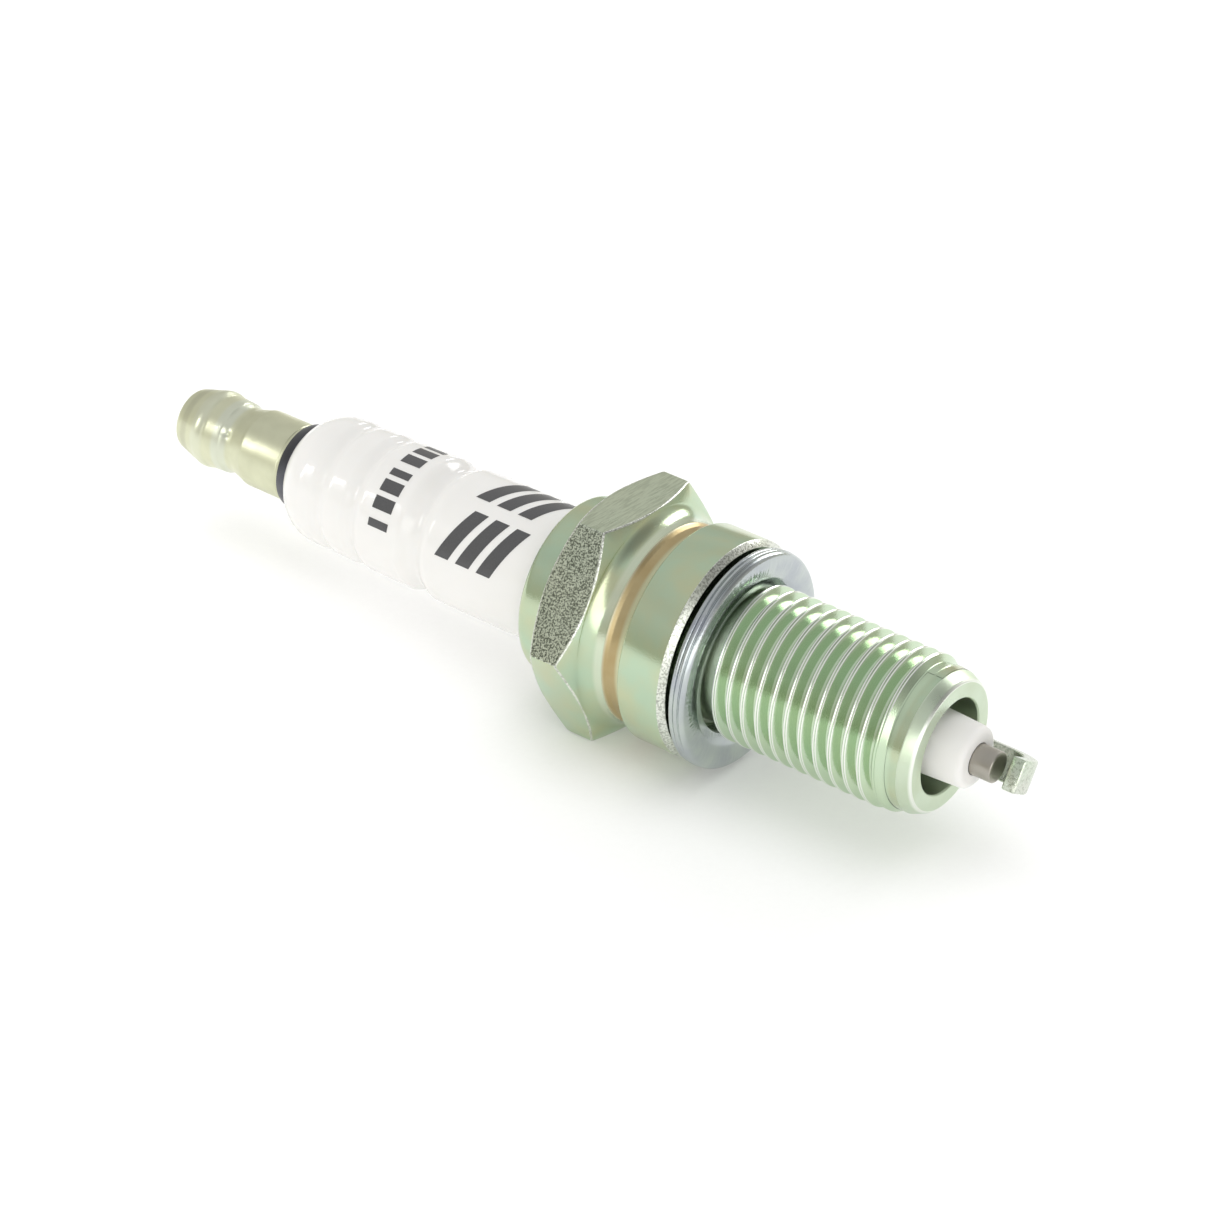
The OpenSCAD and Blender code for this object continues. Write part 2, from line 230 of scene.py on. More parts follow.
def turned(outline, angles):
    """Rows of points of a body turned about X. outline is a list of (x, r), or a function of the angle."""
    columns = [outline(a) if callable(outline) else outline for a in angles]
    return [[at(*column[k], a) for column, a in zip(columns, angles)] for k in range(len(columns[0]))]


def round_angles(count):
    return [360 * i / count for i in range(count)]


def skin(build, rows, closed=True):
    """Quads between neighbouring rows of points."""
    made = [[build.verts.new(p) for p in row] for row in rows]
    for a, b in zip(made, made[1:]):
        for j in range(len(a) if closed else len(a) - 1):
            k = (j + 1) % len(a)
            build.faces.new((a[j], a[k], b[k], b[j]))
    return made


def helix(pitch, x0, first_angle, turns, section, steps=120):
    """Rows of points along a right-hand thread; section(t) gives the (x, r) outline after t turns."""
    count = int(turns * steps)
    rows = []
    for i in range(count + 1):
        t = i / steps
        rows.append([at(x0 + pitch * t + x, r, first_angle + 360 * t) for x, r in section(t)])
    return rows


def piece(name, build, finishes, body, node, crease=32, finish_of=None):
    """A finished piece from a bmesh. It rides on a body and stands for a CAD node.
    finishes is one material, or a dict of them from which finish_of(centre, normal) picks a key."""
    if not finish_of:
        finishes = {"all over": finishes}
    order = list(finishes)
    bmesh.ops.remove_doubles(build, verts=build.verts, dist=0.002 * MM)
    bmesh.ops.recalc_face_normals(build, faces=build.faces)
    for face in build.faces if finish_of else ():
        face.material_index = order.index(finish_of(face.calc_center_median() / MM, face.normal))
    mesh = bpy.data.meshes.new(name)
    build.to_mesh(mesh)
    build.free()
    for face in mesh.polygons:
        face.use_smooth = True
    mesh.set_sharp_from_angle(angle=radians(crease))
    for finish_name in order:
        mesh.materials.append(finishes[finish_name])
    made = bpy.data.objects.new(name, mesh)
    bpy.context.scene.collection.objects.link(made)
    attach(made, body)
    if node:
        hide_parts(node)
    return made


# ---------------------------------------------------------------- shell

RIM_REAR, REACH = span("shell", "x")
HEX_AF, HEX_REAR, HEX_FRONT = 2 * span("shell", "z")[1], -11.5, -7.5
CHAMFER_R = HEX_AF / 2 - 0.1
RIM_R, RIM_LIP_R, MOUTH_R = 7.15, 5.56, 6.35
# the hollow from the hexagon down to the groove is one big fillet
FILLET_X, FILLET_R = -5.95, 1.77
NECK_R, GROOVE_R, GROOVE_REAR, GROOVE_FRONT = 7.95, 7.7, -5.95, -4.1
FLANGE_R, FLANGE_REAR, FLANGE_CHAMFER = 8.6, -4.0, 0.45
# M12 x 1.25, whose last turn fades out into the plain end
THREAD_R, ROOT_R, PITCH = 6.0, 5.25, 1.25
THREAD_FOOT, THREAD_TURNS, THREAD_START = 1.25, 12.4, -50
RISE_TURNS, FADE_TURNS, FADE_R = 0.25, 0.9, 5.5
END_X, END_R, BORE_R, LEDGE_R, THROAT_R = 18.05, 4.98, 3.69, 3.25, 4.2

# more columns near the six corners, which are rounded to about 0.25 mm by CORNER_SHARPNESS
CORNER_SHARPNESS = 170
corner_steps = [0, 0.3, 0.6, 0.9, 1.3, 2, 3, 4.5, 6.5, 9, 12, 15, 18, 21, 24, 27, 30]
hex_angles = sorted({round((60 * k + side * s) % 360, 3)
                     for k in range(6) for s in corner_steps for side in (1, -1)})


def hex_radius(angle):
    """Distance from the axis to the hexagon, its corners slightly rounded."""
    off = angle % 60 - 30
    near = HEX_AF / 2 / cos(radians(off))
    far = HEX_AF / 2 / cos(radians(60 - abs(off)))
    return (near ** -CORNER_SHARPNESS + far ** -CORNER_SHARPNESS) ** (-1 / CORNER_SHARPNESS)


def shell_outline(angle):
    """Outside of the shell from the mouth of the rim to the thread, at one angle."""
    r = hex_radius(angle)
    cone = (r - CHAMFER_R) * tan(radians(30))
    rim = ([(RIM_REAR + 1, 6.2), (RIM_REAR + 0.8, 5.75), (RIM_REAR + 0.4, RIM_LIP_R, 0.15),
            (RIM_REAR, RIM_LIP_R + 0.06, 0.25)]
           + arc(RIM_REAR + 1.1, RIM_R - 0.7, 0.7, 150, 90)
           + [(RIM_REAR + 1.6, RIM_R)] + arc(HEX_REAR - 0.5, RIM_R + 0.5, 0.5, 270, 350))
    hexagon = [(HEX_REAR, RIM_R + 0.57, 0.05), (HEX_REAR, CHAMFER_R, 0.08), (HEX_REAR + cone, r, 0.2),
               (HEX_FRONT - cone, r, 0.2), (HEX_FRONT, CHAMFER_R, 0.3)]
    hollow = (arc(FILLET_X, NECK_R + FILLET_R, FILLET_R, 213, 262)
              + [(GROOVE_REAR + 0.05, NECK_R, 0.12), (GROOVE_REAR + 0.4, GROOVE_R + 0.02, 0.3),
                 (GROOVE_FRONT - 0.2, GROOVE_R - 0.02, 0.35)])
    flange = [(FLANGE_REAR, FLANGE_R, 0.12), (-FLANGE_CHAMFER, FLANGE_R, 0.08),
              (0.0, FLANGE_R - FLANGE_CHAMFER, 0.06), (0.0, FADE_R, 0.25)]
    relief = [(0.3, ROOT_R - 0.01, 0.2), (3.0, ROOT_R - 0.01)]
    return softened(rim + hexagon + hollow + flange + relief)


def thread_section(t):
    """One pitch of the M12 x 1.25 thread after t turns, with rolled roots and crests."""
    grow = min(1, t / RISE_TURNS, (THREAD_TURNS - t) / FADE_TURNS)
    top = THREAD_R if grow == 1 else (ROOT_R if t < 1 else FADE_R) * (1 - grow) + THREAD_R * grow
    lift = max(0, min(1, 1 - (THREAD_TURNS - t) / FADE_TURNS))
    foot = ROOT_R + (FADE_R - ROOT_R) * lift
    # the next turn's foot has already risen by one turn more
    next_lift = max(0, min(1, 1 - (THREAD_TURNS - t - 1) / FADE_TURNS))
    next_foot = ROOT_R + (FADE_R - ROOT_R) * next_lift
    # the fine groove along the crest is where rolled metal closes up
    half, land, flank = PITCH / 2, 0.07, 0.15
    return softened([(0, foot), (0.13, foot, 0.09), (half - flank, top, 0.06), (half - land, top, 0.03),
                     (half, top - 0.06, 0.03), (half + land, top, 0.03), (half + flank, top, 0.06),
                     (PITCH - 0.13, next_foot, 0.09), (PITCH, next_foot)], 2)


build = bmesh.new()
skin(build, turned(shell_outline, hex_angles))
skin(build, helix(PITCH, THREAD_FOOT, THREAD_START, THREAD_TURNS, thread_section), closed=False)
# the plain end, then back inside: chamber, ledge, throat and the cavity under the rim
end_outline = softened(
    [(16.2, FADE_R - 0.02), (END_X, FADE_R - 0.02, 0.25), (REACH - 0.2, END_R + 0.16, 0.12),
     (REACH, END_R, 0.08), (REACH, BORE_R + 0.1, 0.04), (REACH - 0.1, BORE_R, 0.05), (9.55, BORE_R),
     (9.3, LEDGE_R), (8.65, LEDGE_R), (8.1, THROAT_R), (-1.2, THROAT_R), (-3.2, MOUTH_R),
     (RIM_REAR + 1.4, MOUTH_R), (RIM_REAR + 1, 6.2)])
skin(build, turned(end_outline, round_angles(120)))
shell_finishes = {
    # a clear mint mirror with olive clouds, paler by the groove, with a painted highlight in near white
    # along the thread's crests
    "turned": plated(
        "green_passivated_zinc_on_turned_steel", "#b9cfb4", "#c5cba8", grain_mm=0.12,
        grain_depth_mm=0.005, rough=0.17,
        zones=((-6.7, -5.8, 0, "#dbe2cd", 0.6), (0.1, 17.5, 0, "#c6dabe", 0.8),
               (1.0, 18.2, THREAD_R - 0.03, "#f4f7f1", 0.95), (-0.1, 0.1, 0, "#c9d4bf", 0.5))),
    # rolled bar keeps a pitted skin; its dark and bright glitter is painted, as heavy shade in the bottoms
    # of the pitting, and the pitting of about 0.06 mm is drawn twice as coarse so that it shows
    "side flat": plated(
        "pitted_zinc_with_painted_pit_shade_on_hexagon_flat", "#d3dcc9", "#dae1cd", grain_mm=0.13,
        grain_depth_mm=0.03, rough=0.18, pit_shade=("#3f4636", 0.85, 0.49)),
    # draw marks on the top and bottom flats spread the reflection into a soft brushed grey, with faint
    # painted shade in the pitting
    "top flat": plated(
        "streaked_zinc_on_drawn_hexagon_flat", "#c6d0b8", "#ccd4bc", grain_mm=0.1,
        grain_depth_mm=0.006, rough=0.3, streak=12.0, pit_shade=("#858d76", 0.35, 0.47)),
    # a painted highlight: the rounded edges of the hexagon and the flange's front edge are near-white,
    # broken by painted shade in small nicks
    "rubbed edge": plated(
        "painted_highlight_on_zinc_edge", "#eef1e9", "#dde2d6", grain_mm=0.16, grain_depth_mm=0.012,
        rough=0.25, pit_shade=("#7a7e70", 0.6, 0.47)),
    # the chamfered end and the bore are frosted by the cutter: pale, with wide highlights and a painted
    # highlight in near white round the end's outer edge;
    # the relief wears the same pale finish as painted light that lifts the shade in its hollow
    "cut end": plated(
        "frosted_zinc_on_cut_end", "#ccdac4", "#c5d2b8", grain_mm=0.14, grain_depth_mm=0.006,
        rough=0.34, zones=((REACH - 0.25, REACH + 0.3, END_R - 0.08, "#eef2ea", 0.9),)),
    # the heat of crimping turns the film straw brown, and the groove stays satin
    "groove": plated(
        "heat_tinted_zinc_in_crimp_groove", "#b39f74", "#c0b088", grain_mm=0.2, grain_depth_mm=0.01,
        rough=0.36, zones=((-5.0, -3.7, 0, "#cdd0ae", 0.9), (-6.6, -5.75, 0, "#d2d6c0", 0.9))),
}


def shell_finish(centre, normal):
    """Which finish a face of the shell has, from its middle in millimetres and its normal."""
    radius, tilt = hypot(centre.y, centre.z), abs(normal.x)
    if HEX_REAR < centre.x < HEX_FRONT and radius > CHAMFER_R:
        if tilt < 0.05:
            # painted shade: the upper side flats take the heavy painted pit shade, the lower side flats the
            # plain turned finish
            return "top flat" if abs(normal.z) > 0.9 else "side flat" if normal.z > 0 else "turned"
        # the rounded edges of the hexagon take the painted highlight, and so does the flange's front edge
        # below
        return "rubbed edge" if tilt < 0.8 else "turned"
    if -0.5 < centre.x < 0.02 and radius > FLANGE_R - 0.5:
        return "rubbed edge"
    in_bore = radius < 4 and centre.x > 9
    # painted light: the relief takes the pale cut-end finish to lift the shade in its hollow
    in_relief = 0 < centre.x < 1.7 and radius < 5.6
    if centre.x > END_X - 0.05 or in_bore or in_relief:
        return "cut end"
    return "groove" if GROOVE_REAR < centre.x < GROOVE_FRONT and radius < 8.3 else "turned"


piece("plated_shell", build, shell_finishes, "plug", "shell", finish_of=shell_finish)


# ---------------------------------------------------------------- ground electrode

STRAP_W, STRAP_T, STRAP_OUT, STRAP_BEND, STRAP_END, STRAP_ANGLE = 2.5, 1.05, 4.75, 3.5, -0.2, -30
STRAP_TOP = span("ground_electrode", "x")[1]


def strap_path():
    """Middle line of the strap and its outward direction, in the plane through the axis."""
    bend_x, bend_b, r = STRAP_TOP - STRAP_BEND, STRAP_OUT - STRAP_BEND, STRAP_BEND - STRAP_T / 2
    straight = [((x, STRAP_OUT - STRAP_T / 2), (0, 1)) for x in (REACH, REACH + 0.8, REACH + 1.6)]
    curve = [((bend_x + r * sin(radians(a)), bend_b + r * cos(radians(a))),
              (sin(radians(a)), cos(radians(a)))) for a in range(0, 91, 6)]
    leg = [((STRAP_TOP - STRAP_T / 2, b), (1, 0)) for b in (0.8, 0.3, STRAP_END + 0.08, STRAP_END)]
    return straight + curve + leg


def strap_section(inset=0.0, edge=0.14):
    """Rounded rectangle across the strap: (width, thickness) offsets."""
    w, t = STRAP_W / 2 - inset, STRAP_T / 2 - inset
    points = []
    for cw, ct, a0 in ((w - edge, t - edge, 0), (-w + edge, t - edge, 90),
                       (-w + edge, -t + edge, 180), (w - edge, -t + edge, 270)):
        points += [(cw + edge * cos(radians(a0 + k * 30)), ct + edge * sin(radians(a0 + k * 30)))
                   for k in range(4)]
    return points


build = bmesh.new()
across, side = at(0, 1, STRAP_ANGLE) / MM, at(0, 1, STRAP_ANGLE + 90) / MM
rows = []
path = strap_path()
for i, ((x, b), (nx, nb)) in enumerate(path):
    section = strap_section(inset=0.07 if i == len(path) - 1 else 0)
    rows.append([(Vector((x, 0, 0)) + across * b + (Vector((nx, 0, 0)) + across * nb) * t + side * w) * MM
                 for w, t in section])
made = skin(build, rows)
build.faces.new(made[-1])
build.faces.new(made[0])
# the same green film over sheared wire: shallow pitting with painted shade in its bottoms makes its faces
# sparkle softly
strap_plate = plated("green_passivated_zinc_on_sheared_strap", "#c9d6c2", "#d3d6cc", grain_mm=0.2,
                     grain_depth_mm=0.02, rough=0.24, pit_shade=("#84907a", 0.5, 0.42))
piece("bent_strap", build, strap_plate, "plug", "ground_electrode", 40)


# ---------------------------------------------------------------- gasket

LIFT, GASKET_R, GASKET_SAG, LIP_R = span("gasket", "x")[0], span("gasket", "y")[1], 0.2, 5.62
WRINKLE_DEPTH, WRINKLE_R0, WRINKLE_R1 = 0.006, 6.9, 8.3
build = bmesh.new()
fold = softened(
    [(LIFT + 0.02, LIP_R + 0.38, 0.1), (LIFT, 6.4), (LIFT, GASKET_R - 0.4)]
    + arc(LIFT + 0.22, GASKET_R - 0.27, 0.22, 180, 50)
    + [(LIFT + 0.42, GASKET_R - 0.2, 0.04)] + arc(LIFT + 0.62, GASKET_R - 0.2, 0.19, 160, 30)
    + [(LIFT + 0.83, GASKET_R - 0.2, 0.04)] + arc(LIFT + 0.84, GASKET_R - 0.5, 0.46, 70, 12)
    + [(LIFT + 1.38, 7.7, 1.2), (LIFT + 1.26, 6.6, 0.6), (LIFT + 0.95, LIP_R + 0.1, 0.15),
       (LIFT + 0.5, LIP_R, 0.1), (LIFT + 0.02, LIP_R + 0.38, 0.1)])


def wrinkled(angle):
    """The folded sheet at one angle: the press drew its front face into fine radial wrinkles."""
    a = radians(angle)
    wave = sin(83 * a) + 0.8 * sin(127 * a + 1.3) + 0.6 * sin(61 * a + 4) + 0.5 * sin(149 * a + 2.2)
    line = []
    for x, r in spaced(fold, 0.25):
        fade = max(0, min(1, (r - WRINKLE_R0) * 1.5, (WRINKLE_R1 - r) * 2))
        line.append((x + WRINKLE_DEPTH * wave * fade if x > LIFT + 1 else x, r))
    return line


skin(build, turned(wrinkled, round_angles(720)))
# loose on the relief, the gasket hangs a little below the axis
bmesh.ops.translate(build, verts=build.verts, vec=(0, 0, -GASKET_SAG * MM))
# bluish silver plate with the press's faint orange peel, which breaks up its highlights
gasket_plate = plated("blue_passivated_zinc_on_folded_sheet", "#c4ccc7", "#adb2ba", grain_mm=0.22,
                      grain_depth_mm=0.012, rough=0.2)
piece("folded_gasket", build, gasket_plate, "gasket", "gasket", 40)


# ---------------------------------------------------------------- insulator

INS_END, NOSE_END = span("insulator", "x")
INS_R, SHOULDER_R, SEAT_R, STEM_R = 5.42, span("insulator", "z")[1], 4.1, 2.95
NOSE_R, INS_BORE_R = 2.36, 2.06
DOME_R, DOME_X, DOME_TOP_R, RIB_FRONT = 3.5, -37.5, 5.22, -24.6
# station, half width and depth of the valleys between the ribs
GROOVES = ((-35.8, 1.0, 0.25), (-32.5, 1.0, 0.3), (-26.3, 1.6, 0.6))


def insulator_radius(x):
    """Radius of the glazed body behind the shell."""
    if x > RIB_FRONT:
        return INS_R
    if x < DOME_X:
        return DOME_TOP_R - DOME_R + sqrt(max(0, DOME_R ** 2 - (x - DOME_X) ** 2))
    r = DOME_TOP_R + (INS_R - DOME_TOP_R) * (x - DOME_X) / (RIB_FRONT - DOME_X)
    for centre, half, depth in GROOVES:
        if abs(x - centre) < half:
            r -= depth * (1 + cos(pi * (x - centre) / half)) / 2
    return r


RIB_STEP = 0.08
rib_stations = [DOME_X + RIB_STEP * i for i in range(1, int((RIB_FRONT - DOME_X) / RIB_STEP))]
clay_outline = softened(
    [(INS_END, INS_BORE_R), (INS_END, DOME_TOP_R - DOME_R + DOME_R * sin(radians(143)), 0.15)]
    + arc(DOME_X, DOME_TOP_R - DOME_R, DOME_R, 142, 90, 24)
    + [(x, insulator_radius(x)) for x in rib_stations]
    + [(RIB_FRONT, INS_R), (-18.0, INS_R), (-10.9, INS_R), (-10.6, SHOULDER_R), (-3.8, SHOULDER_R),
       (-1.7, SEAT_R), (8.0, SEAT_R, 0.3), (8.4, STEM_R, 0.3), (14.0, 2.7), (NOSE_END, NOSE_R, 0.55),
       (NOSE_END, 1.25)])
build = bmesh.new()
skin(build, turned(clay_outline, round_angles(160)))
clay = fired_clay("glazed_alumina_with_bare_nose")
piece("ribbed_insulator", build, clay, "plug", "insulator", 50)

# Plain printed bars: each is (rear x, front x, first angle, last angle, slant in mm).
ring_bars = [(-30.5, -28.6, 168 - 15.5 * k, 168 - 15.5 * k - (11 if k % 3 else 7), 0.0) for k in range(7)]
body_bars = [(first + 2 * k, first + 2 * k + 1.3, a0, a1, slant)
             for first, a0, a1, slant in ((-22.9, 168, 122, 1.9), (-21.9, 110, 66, 1.7)) for k in range(3)]
INK, BAR_COLUMNS, BAR_ROWS = 0.012, 8, 14


def inked(x, angle):
    """A point on the ink's surface, which stands a hair above the glaze."""
    return at(x, insulator_radius(x) + INK, angle)


build = bmesh.new()
for x0, x1, a0, a1, slant in ring_bars + body_bars:
    rows = []
    for v in range(BAR_ROWS + 1):
        lean = slant * (v / BAR_ROWS - 0.5)
        angle = a0 + (a1 - a0) * v / BAR_ROWS
        rows.append([inked(x0 + (x1 - x0) * u / BAR_COLUMNS + lean, angle) for u in range(BAR_COLUMNS + 1)])
    skin(build, rows, closed=False)
# dark grey, not black, and a little duller than the glaze round it
ink = dull("fired_grey_ceramic_ink", "#48484a", "#5a5a5b", grain_mm=0.12, depth_mm=0.003, rough=0.3)
piece("printed_marks", build, ink, "plug", None, 50)


# ---------------------------------------------------------------- centre electrode

build = bmesh.new()
TIP_X, WIRE_R, HEAD_R = span("centre_electrode", "x")[1], 1.2, 1.75
# turned ends stop this far from the axis, where the last ring of points would otherwise meet
AXIS = 0.02
wire = softened([(0.0, AXIS), (0.0, HEAD_R, 0.15), (1.4, HEAD_R), (2.0, WIRE_R),
                 (NOSE_END + 0.02, WIRE_R), (TIP_X, WIRE_R, 0.16), (TIP_X, AXIS)])
skin(build, turned(spaced(wire, 0.3), round_angles(72)))
# bare warm-grey nickel, satin from the lathe: fine rings round the wire stretch its highlight
electrode_metal = plated("turned_nickel_alloy", "#a9a59c", "#b5b1a8", grain_mm=0.05,
                         grain_depth_mm=0.004, rough=0.36, streak=8.0)
piece("electrode_tip", build, electrode_metal, "plug", "centre_electrode")


# ---------------------------------------------------------------- terminal

STUD_R, STUD_ROOT, STUD_PITCH, STUD_TURNS = 2.0, 1.57, 0.7, 13
STUD_TOP, STUD_FOOT = span("terminal_stud", "x")
COLLAR_REAR = -41.4
STEM_TOP_R, STEM_TIP_R, STEM_TIP_X = 1.98, 1.6, -14.0
NUT_END, NUT_OPEN = span("terminal_nut", "x")
NUT_R, WAIST_R, NUT_BORE_R, NUT_BORE_END = 3.2, 2.74, 2.06, -51.9


def stud_section(t):
    """One pitch of the M4 x 0.7 stud thread after t turns."""
    grow = min(1, t / 0.6)
    top, half = STUD_ROOT + (STUD_R - STUD_ROOT) * grow, STUD_PITCH / 2
    return softened([(0, STUD_ROOT), (0.06, STUD_ROOT, 0.04), (half - 0.05, top, 0.03),
                     (half + 0.05, top, 0.03), (STUD_PITCH - 0.06, STUD_ROOT, 0.04),
                     (STUD_PITCH, STUD_ROOT)], 2)


build = bmesh.new()
skin(build, turned(softened(
    [(STUD_TOP, AXIS), (STUD_TOP, 1.35, 0.1), (STUD_TOP + 0.3, STUD_ROOT - 0.01),
     (COLLAR_REAR, STUD_ROOT - 0.01), (COLLAR_REAR, 3.42, 0.08), (INS_END, 3.86, 0.05),
     (INS_END, STEM_TOP_R), (STEM_TIP_X, STEM_TOP_R), (STEM_TIP_X, STEM_TIP_R),
     (STUD_FOOT, STEM_TIP_R), (STUD_FOOT, AXIS)]), round_angles(96)))
skin(build, helix(STUD_PITCH, STUD_TOP + 0.15, 0, STUD_TURNS, stud_section, 60), closed=False)
# phosphated: blue-black and dull, with a broad grey sheen
stud_metal = plated("dark_phosphated_steel", "#5d5f66", "#4b4c52", grain_mm=0.08, grain_depth_mm=0.005,
                    rough=0.38, streak=3.0)
piece("threaded_stud", build, stud_metal, "plug", "terminal_stud")


def nut_outline():
    """Clip bulb, waist, barrel with a turned bead at its mouth, and the blind bore."""
    nose = [(NUT_END, AXIS), (NUT_END, 2.0)] + arc(NUT_END + 0.5, 2.1, 0.5, 168, 112, 4)
    bulb = arc(NUT_END + 2.75, NUT_R - 1.2, 1.2, 108, 60, 10)
    waist = arc(NUT_END + 5.7, WAIST_R + 1.6, 1.6, 240, 290, 10)
    barrel = arc(NUT_END + 7.6, NUT_R - 0.8, 0.8, 118, 90, 6)
    mouth = [(NUT_OPEN - 0.4, NUT_R), (NUT_OPEN - 0.33, NUT_R - 0.05), (NUT_OPEN - 0.22, NUT_R - 0.02),
             (NUT_OPEN, NUT_R - 0.08, 0.08), (NUT_OPEN, 2.3)]
    bore = [(NUT_OPEN - 0.25, NUT_BORE_R), (NUT_BORE_END, NUT_BORE_R), (NUT_BORE_END, AXIS)]
    return spaced(softened(nose + bulb + waist + barrel + mouth + bore), 0.12)


# a small punch mark in the waist
DIMPLE_X, DIMPLE_ANGLE, DIMPLE_R, DIMPLE_DEPTH = -47.7, 147, 0.3, 0.16
build = bmesh.new()
rows = turned(nut_outline(), round_angles(180))
for row in rows:
    for p in row:
        radius = hypot(p.y, p.z) / MM
        off = hypot(p.x / MM - DIMPLE_X,
                    radians((degrees(atan2(p.z, p.y)) - DIMPLE_ANGLE + 180) % 360 - 180) * radius)
        if radius > 2.3 and off < 3 * DIMPLE_R:
            sink = DIMPLE_DEPTH * exp(-(off / DIMPLE_R) ** 2)
            p.y *= 1 - sink / radius
            p.z *= 1 - sink / radius
skin(build, rows)
# pale olive film over fine turning marks: satin, with one darker and two paler bands round it
nut_plate = plated("olive_passivated_zinc_on_turned_nut", "#dbddc0", "#ccceb2", grain_mm=0.09,
                   grain_depth_mm=0.005, rough=0.34, streak=7.0,
                   zones=((-52.4, -51.4, 0, "#b5b59d", 0.4), (-51.0, -49.6, 0, "#dfe4d6", 0.3),
                          (-48.9, -47.3, 0, "#dbe3df", 0.35)))
piece("screwed_terminal_nut", build, nut_plate, "terminal_nut", "terminal_nut")


# ---------------------------------------------------------------- pieces inside the plug

# These show only where a plug is cut open. The numbers are grain and depth in mm, then roughness.
inner_finish = {
    # pink-brown and softly bright from the die
    "copper_core": dull("drawn_copper", "#c98a64", "#b87a58", 0.3, 0.002, 0.3, metal=1.0),
    # near-black and gritty
    "resistor": dull("fused_resistor_mass", "#262628", "#3a3a3d", 0.15, 0.01, 0.7),
    # chalky off-white with no shine
    "talc_filling": dull("pressed_talc", "#e6e2d8", "#d9d4c8", 0.1, 0.01, 0.9),
    # dark glass speckled brown by its metal powder
    "front_glass_seal": dull("fused_copper_glass", "#55555c", "#73655a", 0.12, 0.006, 0.35),
    # light grey and even
    "seat_washer": dull("plain_sheet_steel", "#a9a9a4", "#98989a", 0.2, 0.003, 0.35, metal=1.0),
    # mid grey, a little duller than the sheet
    "front_packing_ring": dull("plain_steel_wire", "#8a8a88", "#77777a", 0.15, 0.004, 0.4, metal=1.0),
}
inner_finish["rear_glass_seal"] = inner_finish["front_glass_seal"]
inner_finish["rear_packing_ring"] = inner_finish["front_packing_ring"]
for name, material in inner_finish.items():
    for slot in nodes[name].material_slots:
        slot.material = material


# ---------------------------------------------------------------- floor, light and camera

# matt white paper with 0.4 mm fibre clouds, too even to draw the eye
FLOOR_HALF, FLOOR_GAP = 1.5, 0.02 * MM
floor_z = cad_box[0].z - FLOOR_GAP
build = bmesh.new()
corners = [(-1, -1), (1, -1), (1, 1), (-1, 1)]
build.faces.new([build.verts.new((x * FLOOR_HALF, y * FLOOR_HALF, floor_z)) for x, y in corners])
mesh = bpy.data.meshes.new("paper_floor")
build.to_mesh(mesh)
build.free()
mesh.materials.append(dull("white_backdrop_paper", "#fbfbfb", "#f6f6f6", 0.4, 0.004, 0.95))
floor = bpy.data.objects.new("paper_floor", mesh)
bpy.context.scene.collection.objects.link(floor)


def towards(azimuth, elevation):
    """Unit vector; azimuth 0 is -Y and 90 is +X."""
    a, e = radians(azimuth), radians(elevation)
    return Vector((sin(a) * cos(e), -cos(a) * cos(e), sin(e)))


def softbox(name, azimuth, elevation, wide, high, power, colour="#ffffff", far=0.6):
    """A rectangular lamp that faces the plug."""
    lamp = bpy.data.lights.new(name, "AREA")
    lamp.shape, lamp.size, lamp.size_y = "RECTANGLE", wide, high
    lamp.energy, lamp.color = power, linear(colour)[:3]
    holder = bpy.data.objects.new(name, lamp)
    direction = towards(azimuth, elevation)
    holder.location = direction * far
    holder.rotation_mode = "QUATERNION"
    holder.rotation_quaternion = direction.to_track_quat("Z", "Y")
    bpy.context.scene.collection.objects.link(holder)
    return holder


# two narrow windows draw the highlights along the ribs and the nut, and light nothing else
glossy_pieces = bpy.data.collections.new("pieces_with_window_highlights")
for name in ("ribbed_insulator", "screwed_terminal_nut"):
    glossy_pieces.objects.link(bpy.data.objects[name])
for name, azimuth, elevation, wide, high, power in (("left_window", -46, 20, 0.05, 0.2, 0.35),
                                                    ("rear_window", -153, 20, 0.07, 0.14, 0.16)):
    softbox(name, azimuth, elevation, wide, high, power).light_linking.receiver_collection = glossy_pieces
softbox("right_window", 46, 14, 0.8, 0.3, 1.2)
softbox("side_window", -95, 16, 0.6, 0.4, 1.1).visible_glossy = False
softbox("back_window", 176, 26, 0.2, 0.34, 0.9)
softbox("overhead", 0, 88, 0.8, 0.8, 1.1, far=0.8).visible_glossy = False
# a second lamp bleaches the backdrop alone, so that only a faint shadow is left on it
backdrop = bpy.data.collections.new("backdrop")
backdrop.objects.link(floor)
bleach = softbox("backdrop_light", 0, 88, 0.8, 0.8, 2.1, far=0.8)
bleach.visible_glossy = False
bleach.light_linking.receiver_collection = backdrop
bleach.light_linking.blocker_collection = backdrop

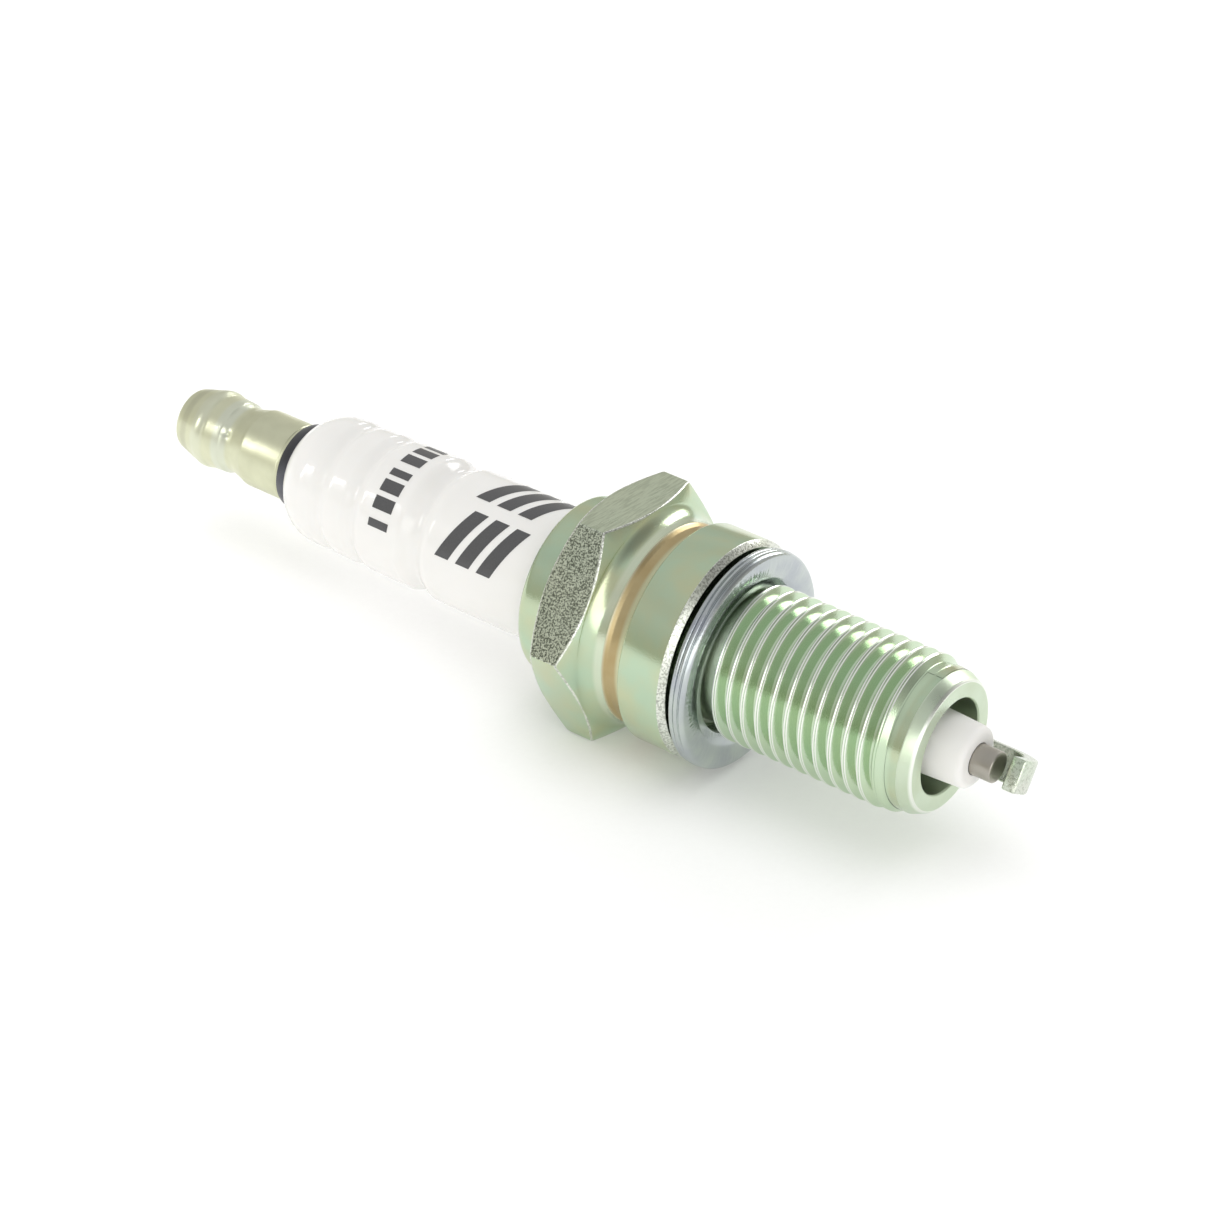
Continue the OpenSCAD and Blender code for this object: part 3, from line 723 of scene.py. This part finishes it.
world = bpy.data.worlds.new("studio")
bpy.context.scene.world = world
world.use_nodes = True
tree = world.node_tree
tree.nodes.clear()
direction = add(tree, "TexCoord").outputs["Generated"]
height = add(tree, "SeparateXYZ", {}, {0: direction}).outputs[2]
ramp = add(tree, "ValToRGB", {}, {0: height})
stops = [(0.0, "#c4c2b2"), (0.2, "#cdcbc3"), (0.34, "#d2d1cd"), (0.5, "#dad9d8"),
         (0.68, "#d4d3d2"), (0.85, "#dcdcdc")]
while len(ramp.color_ramp.elements) < len(stops):
    ramp.color_ramp.elements.new(0.5)
for element, (position, code) in zip(ramp.color_ramp.elements, stops):
    element.position, element.color = position, linear(code)
# the room is darker high up to the right and behind, which shades the hollow in front of the hexagon
aim = add(tree, "VectorMath", {"operation": "DOT_PRODUCT", 1: towards(118, 48)}, {0: direction})
shade = add(tree, "MapRange", {"From Min": 0.8, "From Max": 0.97, "To Min": 1.0, "To Max": 0.45},
            {0: aim.outputs["Value"]})
background = add(tree, "Background", {}, {0: ramp.outputs[0], 1: shade.outputs[0]})
add(tree, "OutputWorld", {}, {0: background.outputs[0]})

# Long lens near the plug's firing end, a third of the way up, rolled by 3 degrees.
AZIMUTH, ELEVATION, ROLL, DISTANCE, AIM_X = 36.21, 30.72, 3.05, 0.27964, -15.64
back = towards(AZIMUTH, ELEVATION)
right = Vector((cos(radians(AZIMUTH)), sin(radians(AZIMUTH)), 0))
up = back.cross(right)
right, up = (right * cos(radians(ROLL)) + up * sin(radians(ROLL)),
             up * cos(radians(ROLL)) - right * sin(radians(ROLL)))
lens = bpy.data.cameras.new("camera")
lens.sensor_width, lens.lens = 36.0, 110.1
lens.shift_x, lens.shift_y = 0.0365, -0.0239
lens.clip_start, lens.clip_end = 0.01, 20
camera = bpy.data.objects.new("camera", lens)
place = Vector((AIM_X * MM, 0, 0)) + back * DISTANCE
camera.matrix_world = Matrix.Translation(place) @ Matrix((right, up, back)).transposed().to_4x4()
bpy.context.scene.collection.objects.link(camera)
bpy.context.scene.camera = camera
bpy.context.scene.view_settings.view_transform = "Standard"
